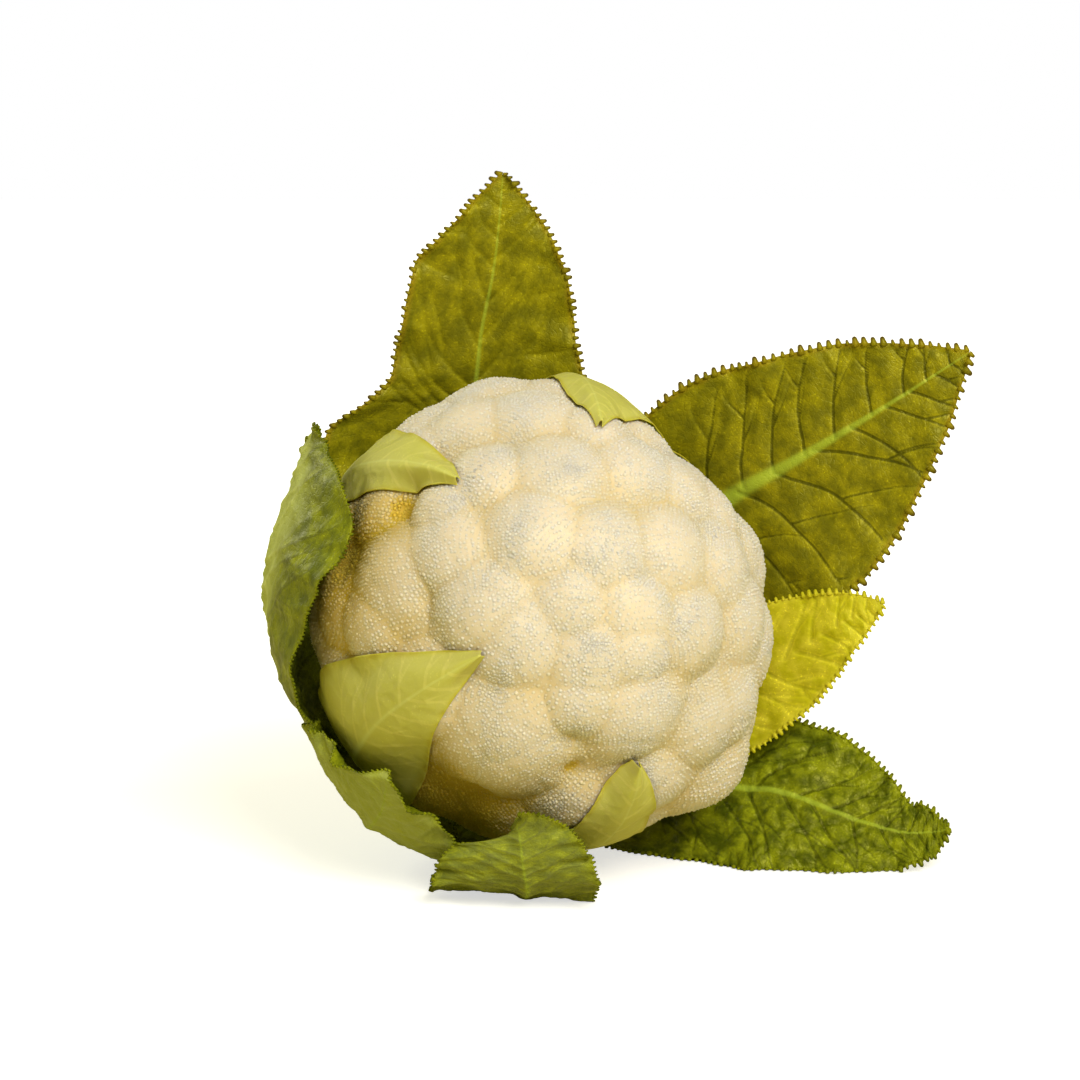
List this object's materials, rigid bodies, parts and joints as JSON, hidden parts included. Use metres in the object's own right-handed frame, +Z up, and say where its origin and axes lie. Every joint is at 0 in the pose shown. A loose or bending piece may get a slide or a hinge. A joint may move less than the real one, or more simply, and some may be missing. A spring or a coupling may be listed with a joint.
{
  "type": "cauliflower",
  "caption": "Cauliflower lying on its side: a round curd of tight beaded florets on a cut stalk, pale inner leaves pressed to it and broad serrated outer leaves spread round it.",
  "frame": {"origin": "the rest spot on the flat underside of the lowest leaf, straight below the middle of the head, on the surface the cauliflower lies on", "axes": "+Z up; the curd faces -Y, turned a little to +X and tipped a little up; +X to the right of somebody looking at the curd; the cut stalk points to +Y"},
  "size_m": [0.2215, 0.169, 0.2151],
  "materials": {
    "curd": "matte",
    "stalk": "satin",
    "inner_leaf": "satin",
    "outer_leaf": "satin",
    "sage_leaf": "satin",
    "yellow_leaf": "satin"
  },
  "bodies": {
    "root": {"curd": "curd", "stalk": "stalk", "top_leaf": "outer_leaf", "right_leaf": "outer_leaf", "right_inner_leaf": "yellow_leaf", "lower_right_leaf": "outer_leaf", "left_leaf": "sage_leaf", "lower_left_leaf": "outer_leaf", "bottom_leaf": "outer_leaf", "upper_left_bract": "inner_leaf", "upper_right_bract": "inner_leaf", "lower_left_bract": "inner_leaf", "bottom_bract": "inner_leaf"}
  },
  "joints": []
}
